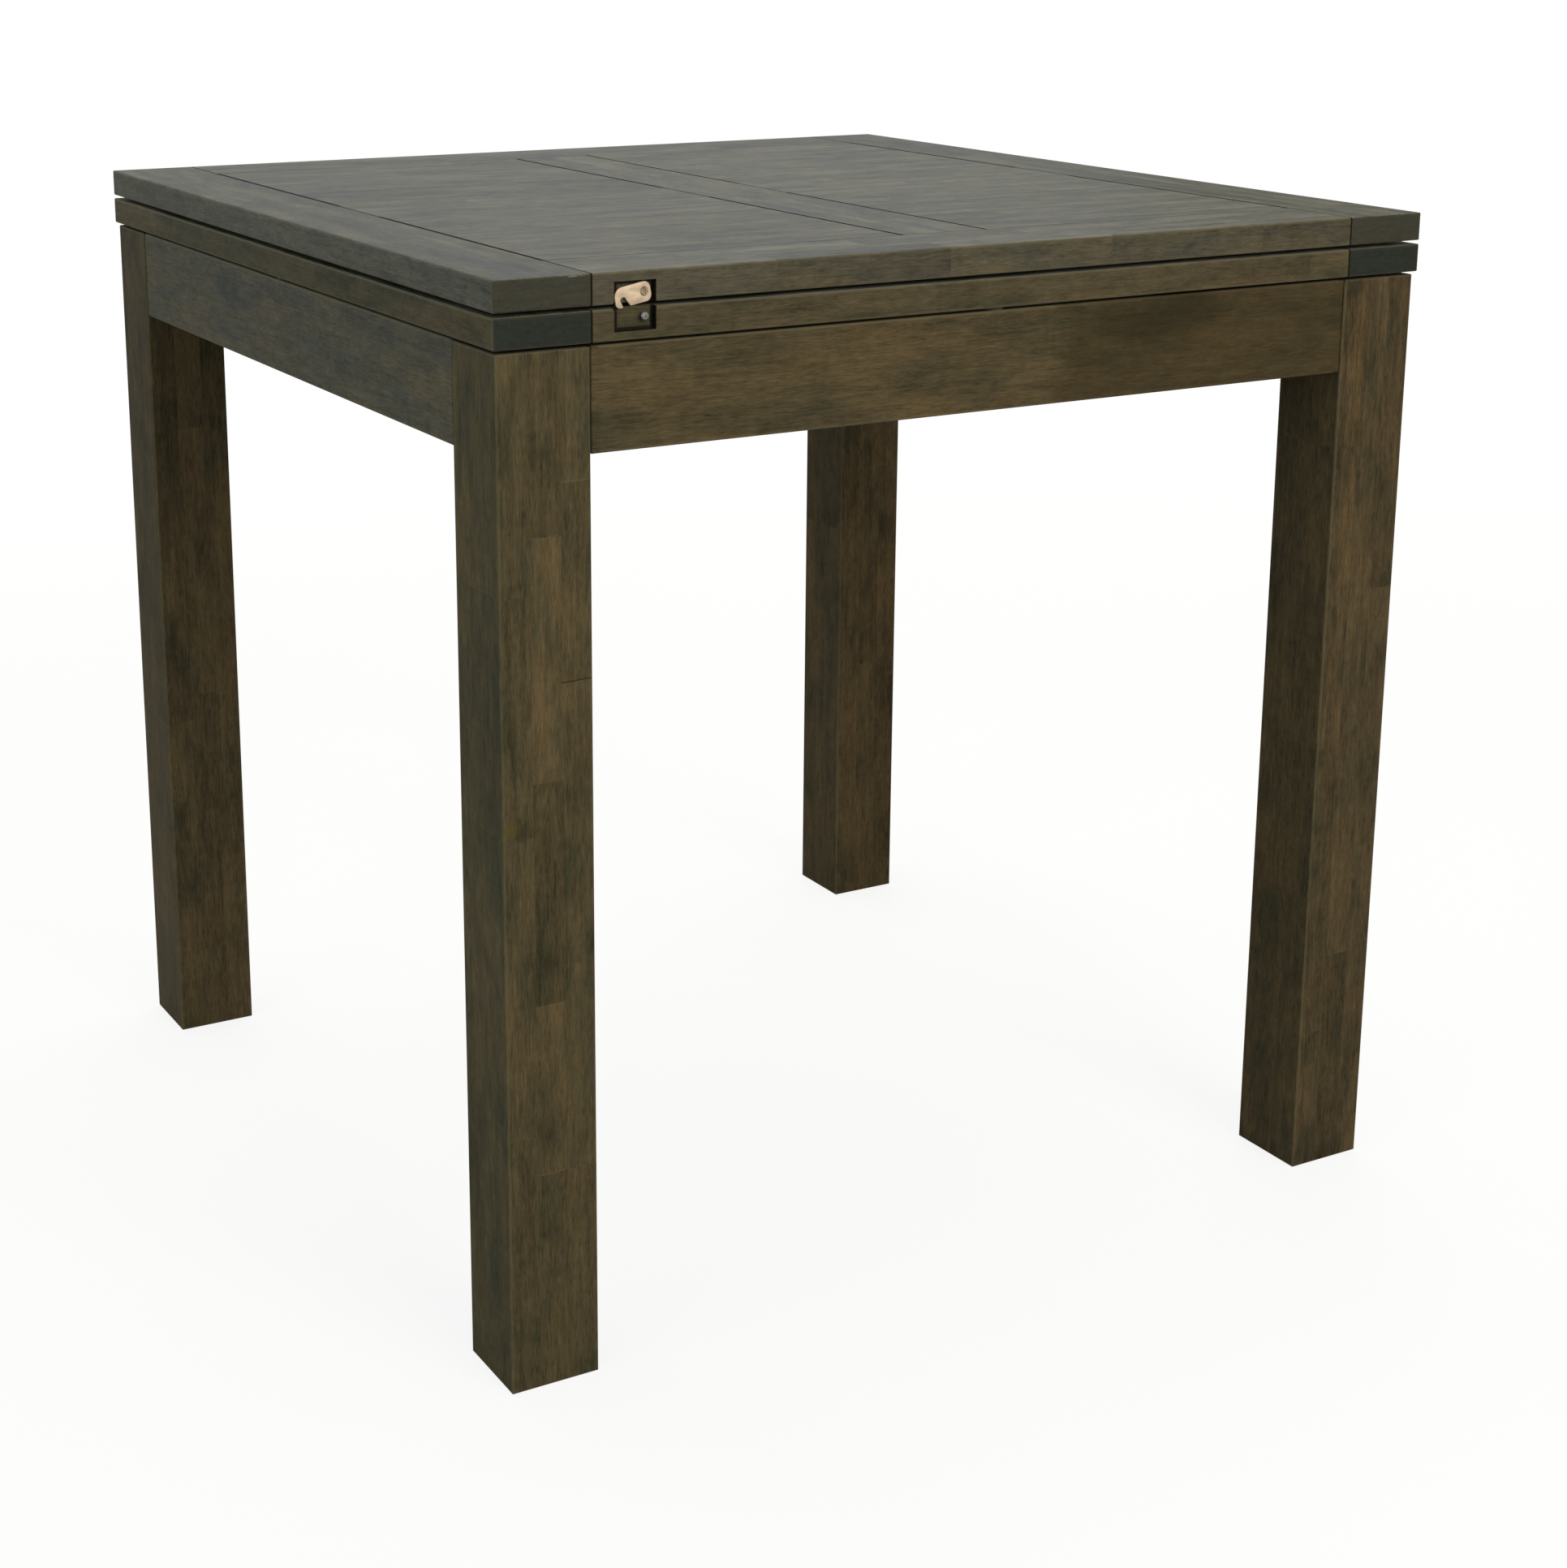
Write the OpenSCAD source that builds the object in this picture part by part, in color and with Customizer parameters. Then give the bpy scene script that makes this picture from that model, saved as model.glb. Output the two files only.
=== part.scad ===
// Bar table whose top unfolds to twice its length. Two square leaves lie one on the other over a
// four-legged frame. The pair swivels a quarter turn on an off-centre pivot, and the upper leaf
// then flips over on butt hinges, so that both lie level and centred on the frame.
// The front is -Y, where the latch is, and the hinges are along the right edge, +X.

/* [Table] */
// Width and depth of the folded top
top_w = 900; // [860:5:1000]
// Height of the top above the floor
table_h = 900; // [850:5:1100]

/* [Leaves] */
// Thickness of each leaf
leaf_t = 24.4; // [22:0.1:30]
// Gap between the folded leaves
leaf_gap = 3.2; // [3.1:0.1:4]
// Radius on the outer edges of a leaf
leaf_ease = 2; // [1:0.1:3]
// Width of the full-depth boards at the left and right ends
breadboard_w = 81; // [70:1:95]
// Width of the front and rear rails
rail_w = 82; // [70:1:95]
// Width of the stile that runs front to rear in the middle
stile_w = 82; // [75:1:95]
// Width of the rail that crosses the middle
mid_rail_w = 90; // [75:1:100]
// Width of the expansion groove at each end of a panel
panel_groove = 2; // [1:0.5:3]
// Planks glued side by side in each panel
planks = 3; // [2:1:4]
// Width of the fine V at a plank seam
seam_w = 0.7; // [0.4:0.1:1]

/* [Tongues] */
// Length of the tongues
tongue_l = 8; // [5:0.5:12]
// Thickness of the tongues
tongue_t = 8; // [6:0.5:10]
// Distance that a tongue stays away from the outer edge
tongue_inset = 12; // [8:1:20]
// Clearance on each face of a tongue
tongue_clear = 0.1; // [0.05:0.05:0.3]

/* [Frame] */
// Side of the square legs
leg_w = 78; // [70:1:85]
// Radius on the edges of a leg
leg_ease = 2; // [1:0.5:3]
// Distance that the top stands out past the legs
overhang = 3; // [2:0.5:10]
// Gap between the frame and the lower leaf
glide_gap = 2.5; // [2:0.5:4]
// Height of the aprons
apron_h = 82; // [65:1:95]
// Thickness of the aprons
apron_t = 22; // [18:1:25]
// Distance that the aprons stand back from the faces of the legs
apron_setback = 1; // [0.5:0.5:4]
// Radius on the edges of an apron
apron_ease = 2; // [1:0.5:3]
// Radius of the dowels between apron and leg
dowel_r = 5; // [4:0.5:6]
// Length of those dowels
dowel_l = 50; // [40:2:56]
// Height between the two dowels of a joint
dowel_pitch = 40; // [25:1:45]

/* [Corner blocks] */
// Thickness of a corner block
block_t = 22; // [18:1:26]
// Height of a corner block
block_h = 56; // [40:1:60]
// Clearance between a block and the leg's corner
block_clear = 0.8; // [0.3:0.1:0.9]
// Radius of the hanger bolts
hanger_r = 4; // [3:0.5:5]
// Depth of a hanger bolt in the leg
hanger_in = 38; // [25:1:45]
// Width across the flats of the hanger nuts
hanger_nut_w = 13; // [11:1:16]
// Height of the hanger nuts
hanger_nut_h = 6.5; // [5:0.5:8]
// Length of bolt that shows past the nut
hanger_tail = 2; // [1:0.5:6]
// Radius of the hanger washers
hanger_washer_r = 11; // [9:0.5:14]
// Thickness of the hanger washers
hanger_washer_t = 1.6; // [1:0.1:2.5]

/* [Swivel] */
// Width of the rail that carries the pivot
swivel_rail_w = 110; // [100:2:140]
// Thickness of that rail
swivel_rail_t = 22; // [18:1:26]
// Height of the cleats under its ends
cleat_h = 25; // [20:1:35]
// Thickness of the cleats
cleat_t = 20; // [16:1:30]
// Clearance between a cleat and a corner block
cleat_clear = 5; // [3:0.5:10]
// Radius of the screws that hold the cleats
cleat_screw_r = 2.2; // [1.8:0.1:3]
// Radius of the pivot plate
plate_r = 48; // [46:1:52]
// Clearance between the pivot plate and the rail
plate_clear = 0.2; // [0.1:0.1:0.4]
// Radius of the stud on the pivot plate
pivot_r = 5; // [4:0.5:6]
// Wall of the sleeve around the stud
bush_wall = 3; // [2:0.5:4]
// Radial running clearance of the stud in the sleeve
pivot_clear = 0.06; // [0.03:0.01:0.1]
// Distance from the pivot to the stop pin
stop_reach = 34; // [32:1:38]
// Radius of the stop pin
stop_r = 3; // [2:0.5:4]
// Clearance of the stop pin in its arc slot
stop_clear = 0.25; // [0.1:0.05:0.5]
// Distance from the pivot to the plate's screws
plate_screw_reach = 20; // [17:1:23]
// Radius of the pivot washer
pivot_washer_r = 15; // [12:1:20]
// Thickness of the pivot washer
pivot_washer_t = 2; // [1.5:0.5:3]
// Width across the flats of the pivot lock nut
pivot_nut_w = 17; // [15:1:20]
// Height of the pivot lock nut
pivot_nut_h = 9; // [7:0.5:12]
// Length of stud that shows under the nut
stud_tail = 3; // [1:0.5:6]

/* [Pads] */
// Radius of the felt glides on the frame
glide_r = 10; // [7:0.5:11]
// Radius of the felt dots between the leaves
dot_r = 6; // [4:0.5:10]
// Distance of the dots from the edges of the leaf
dot_inset = 50; // [30:5:75]
// Clearance over the felt, over the stop pin and at the pivot washer
felt_clear = 0.1; // [0.05:0.05:0.3]

/* [Hinges] */
// Length of a hinge
hinge_l = 60; // [50:1:80]
// Width of a hinge plate
hinge_w = 25; // [20:1:35]
// Thickness of a hinge plate
hinge_t = 1.5; // [1.2:0.1:2]
// Distance between neighbouring hinges
hinge_pitch = 300; // [250:10:330]
// Radius of the barrel
barrel_r = 1.5; // [1.4:0.1:1.5]
// Radius of the pin
pin_r = 0.8; // [0.6:0.1:0.9]
// Running clearance of the pin
pin_clear = 0.05; // [0.02:0.01:0.1]
// Seam between the leaves when the table is open
leaf_seam = 0.6; // [0.4:0.1:1]
// Clearance between knuckles
knuckle_clear = 0.3; // [0.2:0.1:0.5]
// Radius of the wood screws in hinges and pivot plate
wood_screw_r = 1.7; // [1.4:0.1:2]
// Length of those screws
wood_screw_l = 16; // [10:1:18]
// Radius of their heads
wood_head_r = 3.2; // [2.6:0.1:4]

/* [Latch] */
// Distance from the left edge to the recess
recess_left = 99.5; // [90:0.5:130]
// Width of the recess
recess_w = 35.5; // [35:0.5:45]
// Depth of the recess
recess_d = 6; // [5.5:0.5:8]
// Wood left over the recess in the upper leaf
recess_cover = 7.5; // [6:0.1:8]
// Depth of the recess below the lower leaf's top
recess_low = 17.6; // [17:0.1:19]
// Distance from the recess's right wall to the pivot screw
hook_from_wall = 8.4; // [8.3:0.1:9.5]
// Height of the pivot screw above the upper leaf's lower face
hook_up = 7.8; // [7.6:0.1:8.4]
// Depth of the catch stud below the lower leaf's top
stud_down = 7.5; // [7:0.1:8]
// Length of the hook plate on its long side
hook_l = 25.2; // [24.4:0.1:25.6]
// Length of the hook plate past its pivot
hook_r = 5.6; // [5.4:0.1:6]
// Height of the plate above the pivot
hook_high = 7.6; // [7:0.1:8]
// Height of the plate below the pivot
hook_low = 8; // [7:0.1:8]
// Thickness of the plate
hook_t = 1.8; // [1.5:0.1:2]
// Radius at the plate's lower corner by the slot
hook_tip_low_r = 4; // [3:0.2:5]
// Radius at its upper corner over the slot
hook_tip_high_r = 7.4; // [6:0.2:8]
// Radius at its lower corner under the pivot
hook_heel_low_r = 5.2; // [4:0.2:5.4]
// Radius at its upper corner over the pivot
hook_heel_high_r = 5.4; // [4:0.2:5.4]
// Tilt of the plate as it hangs stowed
hook_tilt = 10.5; // [5:0.5:12]
// Angle of the slot's closed end, from the pivot's level
slot_angle = 8.5; // [6:0.5:10]
// Width of the slot
slot_w = 4.8; // [4.7:0.1:5.2]
// Radius of the catch stud's shank
catch_r = 2; // [1.7:0.1:2]
// Radius of the catch stud's head
catch_head_r = 3.2; // [3:0.1:3.8]
// Thickness of the catch stud's head
catch_head_t = 1.7; // [1:0.1:2]
// Radius of the pivot screw
hook_screw_r = 2; // [1.5:0.1:2.5]
// Radius of the pivot screw's head
hook_head_r = 3.6; // [3.2:0.1:4.4]
// Thickness of the pivot screw's head
hook_head_t = 1.4; // [1:0.1:1.6]
// Radius of the washer behind the plate
hook_washer_r = 4.6; // [4:0.1:5]
// Thickness of the washer behind the plate
hook_washer_t = 0.9; // [0.6:0.1:1]
// Clearance on each side of the plate
hook_play = 0.1; // [0.05:0.05:0.2]
// Radial clearance of the plate on its screw
hook_clear = 0.05; // [0.02:0.01:0.1]
// Depth of the latch's screws in the rail
latch_screw_in = 18; // [12:1:25]

/* [Hidden] */
$fn = 64;
eps = 1;
half = top_w / 2;

// heights, from the top down
upper_z = table_h - leaf_t;
lower_top = upper_z - leaf_gap;
lower_z = lower_top - leaf_t;
frame_h = lower_z - glide_gap;
tongue_z = leaf_t / 2;

// plan of a leaf
inner_x = half - breadboard_w;
inner_y = half - rail_w;
plank_w = (inner_y - mid_rail_w / 2) / planks;

// plan of the frame
leg_out = half - overhang;
leg_in = leg_out - leg_w;
apron_out = leg_out - apron_setback;
apron_in = apron_out - apron_t;
apron_mid = (apron_out + apron_in) / 2;
block_out = 2 * leg_in - block_clear * sqrt(2);
block_in = block_out - block_t * sqrt(2);
block_z = frame_h - apron_h / 2;
block_end = block_in - apron_in;

// axes: the flip axis is just past the right edge, and the swivel pivot
// is where a quarter turn brings that edge over the middle of the frame
flip_x = half + leaf_seam / 2;
flip_z = lower_top + leaf_gap / 2;
pivot_x = flip_x / 2;
pivot_y = -pivot_x;
rail_under = frame_h - swivel_rail_t;
cleat_w = 2 * (block_end - cleat_clear - pivot_x);
knuckle_l = hinge_l / 5;
hinge_ys = [-hinge_pitch, 0, hinge_pitch];
stop_slot_w = 2 * (stop_r + stop_clear);

// latch
recess_x0 = -half + recess_left;
recess_x1 = recess_x0 + recess_w;
recess_y = -half + recess_d;
hook_x = recess_x1 - hook_from_wall;
hook_z = upper_z + hook_up;
catch_z = lower_top - stud_down;
catch_pitch = hook_z - catch_z;
hook_back = recess_y - hook_washer_t - hook_play;
hook_front = hook_back - hook_t;
catch_back = hook_front - 2 * hook_play;

top_grey = "#73756e";
frame_brown = "#554d3a";
end_grain = "#3c3a30";
zinc = "#d7be9f";
steel = "#a5a596";
felt = "#3a3a3a";

// a rectangle with true arcs at its corners, radii in the order
// lower left, lower right, upper right, upper left
module arc_rect(x0, x1, y0, y1, r) {
  xs = [x0, x1, x1, x0];
  ys = [y0, y0, y1, y1];
  sx = [1, -1, -1, 1];
  sy = [1, 1, -1, -1];
  difference() {
    translate([x0, y0]) square([x1 - x0, y1 - y0]);
    for (i = [0:3])
      translate([xs[i] + sx[i] * r[i] / 2, ys[i] + sy[i] * r[i] / 2]) square(r[i], center = true);
  }
  for (i = [0:3])
    translate([xs[i] + sx[i] * r[i], ys[i] + sy[i] * r[i]]) circle(r[i]);
}

// a block between two corners
module block(a, b) {
  translate(a) cube(b - a);
}

// a block between two corners with all its edges eased
module eased_block(a, b, r) {
  rs = [r, r, r, r];
  intersection() {
    translate([0, 0, a[2]]) linear_extrude(b[2] - a[2]) arc_rect(a[0], b[0], a[1], b[1], rs);
    translate([0, b[1], 0]) rotate([90, 0, 0])
      linear_extrude(b[1] - a[1]) arc_rect(a[0], b[0], a[2], b[2], rs);
    translate([a[0], 0, 0]) rotate([90, 0, 90])
      linear_extrude(b[0] - a[0]) arc_rect(a[1], b[1], a[2], b[2], rs);
  }
}

// the four corners of the plan
module at_corners() {
  for (mx = [0, 1], my = [0, 1]) mirror([mx, 0, 0]) mirror([0, my, 0]) children();
}

// a countersunk wood screw that points up through a plate, its head's face at z = 0
module wood_screw(plate_t) {
  cylinder(h = plate_t, r1 = wood_head_r, r2 = wood_screw_r);
  translate([0, 0, plate_t]) cylinder(h = wood_screw_l - plate_t, r = wood_screw_r);
}

// the hole for it in the wood behind the plate
module screw_hole(plate_t) {
  translate([0, 0, plate_t - eps]) cylinder(h = wood_screw_l - plate_t + eps, r = wood_screw_r);
}

// a screw's cross recess, cut from z = 0 upwards
module cross_cut(size, depth) {
  for (turn = [0, 90])
    rotate(turn) translate([0, 0, depth / 2]) cube([size, size / 4, depth], center = true);
}

module hex_nut(width, height, bore_r) {
  difference() {
    cylinder(h = height, r = width / sqrt(3), $fn = 6);
    translate([0, 0, -eps]) cylinder(h = height + 2 * eps, r = bore_r);
  }
}

// Frame

module leg() {
  difference() {
    eased_block([leg_in, leg_in, 0], [leg_out, leg_out, frame_h], leg_ease);
    corner_dowels();
    hanger_bolt();
  }
}

module leg_front_left() color(frame_brown) mirror([1, 0, 0]) mirror([0, 1, 0]) leg();
module leg_front_right() color(frame_brown) mirror([0, 1, 0]) leg();
module leg_rear_left() color(frame_brown) mirror([1, 0, 0]) leg();
module leg_rear_right() color(frame_brown) leg();

// the apron at the rear, along X; the side aprons are the same one turned
module apron() {
  difference() {
    eased_block([-leg_in, apron_in, frame_h - apron_h], [leg_in, apron_out, frame_h], apron_ease);
    for (m = [0, 1]) mirror([m, 0, 0]) side_dowels();
  }
}

module apron_front() color(frame_brown) mirror([0, 1, 0]) difference() {
  apron();
  cleat_screw_pair();
}
module apron_rear() color(frame_brown) difference() {
  apron();
  cleat_screw_pair();
}
module apron_left() color(frame_brown) rotate(90) apron();
module apron_right() color(frame_brown) rotate(-90) apron();

// two dowels along X between the rear apron and the leg at +X
module side_dowels() {
  for (side = [-1, 1])
    translate([leg_in - dowel_l / 2, apron_mid, frame_h - apron_h / 2 + side * dowel_pitch / 2])
      rotate([0, 90, 0]) cylinder(h = dowel_l, r = dowel_r);
}

// the four dowels of one corner
module corner_dowels() {
  side_dowels();
  mirror([1, -1, 0]) side_dowels();
}

module apron_dowels() color("tan") at_corners() corner_dowels();

// along the diagonal of a corner, with z = 0 at the block's outer face and +Z into the leg
module on_diagonal() {
  translate([block_out / 2, block_out / 2, block_z]) rotate([0, 90, 45]) children();
}

module hanger_bolt() {
  tail = block_t + hanger_washer_t + hanger_nut_h + hanger_tail;
  on_diagonal() translate([0, 0, -tail]) cylinder(h = tail + hanger_in, r = hanger_r);
}

module corner_block() {
  difference() {
    translate([0, 0, block_z - block_h / 2]) linear_extrude(block_h)
      polygon([
        [apron_in, block_out - apron_in], [block_out - apron_in, apron_in],
        [block_end, apron_in], [apron_in, block_end]
      ]);
    hanger_bolt();
  }
}

module corner_blocks() color("tan") at_corners() corner_block();
module hanger_bolts() color(steel) at_corners() hanger_bolt();

module hanger_washers() color(steel) at_corners()
  on_diagonal() translate([0, 0, -block_t - hanger_washer_t]) difference() {
    cylinder(h = hanger_washer_t, r = hanger_washer_r);
    translate([0, 0, -eps]) cylinder(h = hanger_washer_t + 2 * eps, r = hanger_r);
  }

module hanger_nuts() color(steel) at_corners()
  on_diagonal() translate([0, 0, -block_t - hanger_washer_t - hanger_nut_h])
    hex_nut(hanger_nut_w, hanger_nut_h, hanger_r);

// Swivel

module swivel_rail() color("tan") difference() {
  block([pivot_x - swivel_rail_w / 2, -apron_in, rail_under],
        [pivot_x + swivel_rail_w / 2, apron_in, frame_h]);
  translate([pivot_x, pivot_y, rail_under - eps])
    cylinder(h = swivel_rail_t + 2 * eps, r = pivot_r + bush_wall);
  stop_pin();
  for (m = [0, 1]) mirror([0, m, 0]) rail_screw_pair();
}

// the cleat at the rear end of the rail, as wide as the corner block lets it be
module cleat() {
  difference() {
    block([pivot_x - cleat_w / 2, apron_in - cleat_t, rail_under - cleat_h],
          [pivot_x + cleat_w / 2, apron_in, rail_under]);
    cleat_screw_pair();
    rail_screw_pair();
  }
}

module rail_cleats() color("tan") for (m = [0, 1]) mirror([0, m, 0]) cleat();

// pan-head screws through the rear cleat into the apron
module cleat_screw_pair() {
  for (side = [-1, 1])
    translate([pivot_x + side * cleat_w / 3, apron_in - cleat_t, rail_under - cleat_h / 2])
      rotate([-90, 0, 0]) pan_screw(cleat_t + apron_t * 0.7);
}

// the same screws up through the cleat into the rail
module rail_screw_pair() {
  for (side = [-1, 1])
    translate([pivot_x + side * cleat_w / 6, apron_in - cleat_t / 2, rail_under - cleat_h])
      pan_screw(cleat_h + swivel_rail_t * 0.7);
}

// a pan-head screw that points up, its head below z = 0
module pan_screw(length) {
  cylinder(h = length, r = cleat_screw_r);
  difference() {
    translate([0, 0, -cleat_screw_r]) cylinder(h = cleat_screw_r, r = 2 * cleat_screw_r);
    translate([0, 0, -cleat_screw_r]) cross_cut(2 * cleat_screw_r, cleat_screw_r / 2);
  }
}

module cleat_screws() color(steel) for (m = [0, 1]) mirror([0, m, 0]) {
  cleat_screw_pair();
  rail_screw_pair();
}

module pivot_sleeve() color("ivory") translate([pivot_x, pivot_y, rail_under]) difference() {
  cylinder(h = swivel_rail_t, r = pivot_r + bush_wall);
  translate([0, 0, -eps]) cylinder(h = swivel_rail_t + 2 * eps, r = pivot_r + pivot_clear);
}

// the pin stands in the rail and reaches up into the arc slot of the pivot plate
module stop_pin() color(steel)
  translate([pivot_x, pivot_y - stop_reach, rail_under + swivel_rail_t / 4])
    cylinder(h = swivel_rail_t * 3 / 4 + glide_gap - felt_clear, r = stop_r);

module stop_slot() {
  translate([0, 0, -eps]) {
    rotate(180) rotate_extrude(angle = 90)
      translate([stop_reach - stop_slot_w / 2, 0]) square([stop_slot_w, glide_gap + 2 * eps]);
    for (turn = [180, 270])
      rotate(turn) translate([stop_reach, 0, 0]) cylinder(h = glide_gap + 2 * eps, r = stop_slot_w / 2);
  }
}

module pivot_plate() color(steel) translate([pivot_x, pivot_y, frame_h]) {
  stud_l = swivel_rail_t + pivot_washer_t + pivot_nut_h + stud_tail;
  difference() {
    translate([0, 0, plate_clear]) cylinder(h = glide_gap - plate_clear, r = plate_r);
    stop_slot();
    plate_screw_spots() wood_screw(glide_gap - plate_clear);
  }
  translate([0, 0, -stud_l]) cylinder(h = stud_l + glide_gap, r = pivot_r);
}

module plate_screw_spots() {
  for (turn = [45:90:315])
    rotate(turn) translate([plate_screw_reach, 0, plate_clear]) children();
}

module pivot_plate_screws() color(steel)
  translate([pivot_x, pivot_y, frame_h]) plate_screw_spots() wood_screw(glide_gap - plate_clear);

module pivot_washer() color(steel)
  translate([pivot_x, pivot_y, rail_under - felt_clear - pivot_washer_t]) difference() {
    cylinder(h = pivot_washer_t, r = pivot_washer_r);
    translate([0, 0, -eps]) cylinder(h = pivot_washer_t + 2 * eps, r = pivot_r);
  }

module pivot_lock_nut() color(steel)
  translate([pivot_x, pivot_y, rail_under - felt_clear - pivot_washer_t - pivot_nut_h])
    hex_nut(pivot_nut_w, pivot_nut_h, pivot_r);

// felt on the legs and the middles of the aprons, which the leaves slide on
module felt_glides() color(felt) translate([0, 0, frame_h]) {
  leg_mid = (leg_in + leg_out) / 2;
  spots = [[leg_mid, leg_mid], [leg_mid, -leg_mid], [-leg_mid, leg_mid], [-leg_mid, -leg_mid],
           [apron_mid, 0], [-apron_mid, 0], [0, apron_mid], [0, -apron_mid]];
  for (spot = spots) translate(spot) cylinder(h = glide_gap - felt_clear, r = glide_r);
}

// Leaves, drawn with z = 0 at the leaf's lower face

module leaf_blank() {
  eased_block([-half, -half, 0], [half, half, leaf_t], leaf_ease);
}

// a slot for tongues, along Y, open towards -X at x = edge
module tongue_slot(edge, y0, y1) {
  block([edge - eps, y0, tongue_z - tongue_t / 2 - tongue_clear],
        [edge + tongue_l + tongue_clear, y1, tongue_z + tongue_t / 2 + tongue_clear]);
}

// a tongue through a board, from x0 to x1
module tongue(x0, x1, y0, y1) {
  block([x0, y0, tongue_z - tongue_t / 2], [x1, y1, tongue_z + tongue_t / 2]);
}

module breadboard() {
  difference() {
    intersection() {
      leaf_blank();
      block([inner_x, -half, 0], [half, half, leaf_t]);
    }
    tongue_slot(inner_x, -half + tongue_inset, half - tongue_inset);
  }
}

// the rear rail
module rail() {
  stile_tongue = stile_w / 2 - tongue_inset;
  difference() {
    intersection() {
      leaf_blank();
      block([-inner_x, inner_y, 0], [inner_x, half, leaf_t]);
    }
    rotate(90) tongue_slot(inner_y, -stile_tongue - tongue_clear, stile_tongue + tongue_clear);
  }
  for (m = [0, 1]) mirror([m, 0, 0])
    tongue(inner_x - eps, inner_x + tongue_l, inner_y, half - tongue_inset - tongue_clear);
}

module stile() {
  difference() {
    block([-stile_w / 2, -inner_y, 0], [stile_w / 2, inner_y, leaf_t]);
    for (m = [0, 1]) mirror([m, 0, 0])
      mirror([1, 0, 0]) tongue_slot(-stile_w / 2, -inner_y - eps, inner_y + eps);
  }
  stile_tongue = stile_w / 2 - tongue_inset;
  for (side = [0, 180])
    rotate(90 + side) tongue(inner_y - eps, inner_y + tongue_l, -stile_tongue, stile_tongue);
}

// the right half of the rail that crosses the middle
module mid_rail() {
  block([stile_w / 2, -mid_rail_w / 2, 0], [inner_x, mid_rail_w / 2, leaf_t]);
  tongue(stile_w / 2 - tongue_l, inner_x + tongue_l, -mid_rail_w / 2, mid_rail_w / 2);
}

// the rear right panel; its planks run left to right
module panel() {
  x0 = stile_w / 2 + panel_groove;
  x1 = inner_x - panel_groove;
  y0 = mid_rail_w / 2;
  difference() {
    union() {
      block([x0, y0, 0], [x1, inner_y, leaf_t]);
      tongue(stile_w / 2 - tongue_l, inner_x + tongue_l, y0, inner_y);
    }
    for (i = [0:planks], z = [0, leaf_t])
      translate([(x0 + x1) / 2, y0 + i * plank_w, z])
        rotate([45, 0, 0]) cube([x1 - x0 + 2 * eps, seam_w / sqrt(2), seam_w / sqrt(2)], center = true);
  }
}

module lower() color(top_grey) translate([0, 0, lower_z]) children();
module upper() color(top_grey) translate([0, 0, upper_z]) children();

module lower_breadboard_left() lower() mirror([1, 0, 0]) breadboard();
module lower_breadboard_right() color(top_grey) difference() {
  translate([0, 0, lower_z]) breadboard();
  hinge_beds(lower_top - hinge_t);
  at_lower_hinges() screw_hole(hinge_t);
}
module lower_rail_front() color(top_grey) difference() {
  translate([0, 0, lower_z]) mirror([0, 1, 0]) rail();
  latch_recess();
  catch_stud();
}
module lower_rail_rear() lower() rail();
module lower_stile() lower() stile();
module lower_mid_rail_left() lower() mirror([1, 0, 0]) mid_rail();
module lower_mid_rail_right() lower() mid_rail();
module lower_panel_front_left() lower() mirror([1, 0, 0]) mirror([0, 1, 0]) panel();
module lower_panel_front_right() color(top_grey) difference() {
  translate([0, 0, lower_z]) mirror([0, 1, 0]) panel();
  translate([pivot_x, pivot_y, frame_h]) plate_screw_spots() screw_hole(glide_gap - plate_clear);
}
module lower_panel_rear_left() lower() mirror([1, 0, 0]) panel();
module lower_panel_rear_right() lower() panel();

module upper_breadboard_left() upper() mirror([1, 0, 0]) breadboard();
module upper_breadboard_right() color(top_grey) difference() {
  translate([0, 0, upper_z]) breadboard();
  hinge_beds(upper_z);
  at_upper_hinges() screw_hole(hinge_t);
}
module upper_rail_front() color(top_grey) difference() {
  translate([0, 0, upper_z]) mirror([0, 1, 0]) rail();
  latch_recess();
  hook_screw();
}
module upper_rail_rear() upper() rail();
module upper_stile() upper() stile();
module upper_mid_rail_left() upper() mirror([1, 0, 0]) mid_rail();
module upper_mid_rail_right() upper() mid_rail();
module upper_panel_front_left() upper() mirror([1, 0, 0]) mirror([0, 1, 0]) panel();
module upper_panel_front_right() upper() mirror([0, 1, 0]) panel();
module upper_panel_rear_left() upper() mirror([1, 0, 0]) panel();
module upper_panel_rear_right() upper() panel();

// felt dots that keep the folded leaves apart
module felt_dots() color(felt) translate([0, 0, lower_top]) at_corners()
  translate([half - dot_inset, half - dot_inset, 0]) cylinder(h = leaf_gap - felt_clear, r = dot_r);

// Hinges

module hinge_beds(z) {
  for (y = hinge_ys) translate([half - hinge_w, y - hinge_l / 2, z]) cube([hinge_w + eps, hinge_l, hinge_t]);
}

// the places of three screws in each plate, pointing up
module hinge_screw_spots() {
  for (y = hinge_ys, i = [-1:1])
    translate([half - hinge_w * 0.55 + i * i * hinge_w * 0.12, y + i * hinge_l / 3, 0]) children();
}

module at_upper_hinges() translate([0, 0, upper_z]) hinge_screw_spots() children();
module at_lower_hinges() translate([0, 0, lower_top]) mirror([0, 0, 1]) hinge_screw_spots() children();

module hinge_screws_upper() color(steel) at_upper_hinges() wood_screw(hinge_t);
module hinge_screws_lower() color(steel) at_lower_hinges() wood_screw(hinge_t);

// one knuckle, with a web down to the plate whose face is below it
module knuckle(i) {
  y0 = -hinge_l / 2 + i * knuckle_l + knuckle_clear / 2;
  translate([flip_x, y0, flip_z]) rotate([-90, 0, 0]) cylinder(h = knuckle_l - knuckle_clear, r = barrel_r);
  block([flip_x - barrel_r, y0, lower_top - hinge_t], [half, y0 + knuckle_l - knuckle_clear, flip_z]);
}

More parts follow.
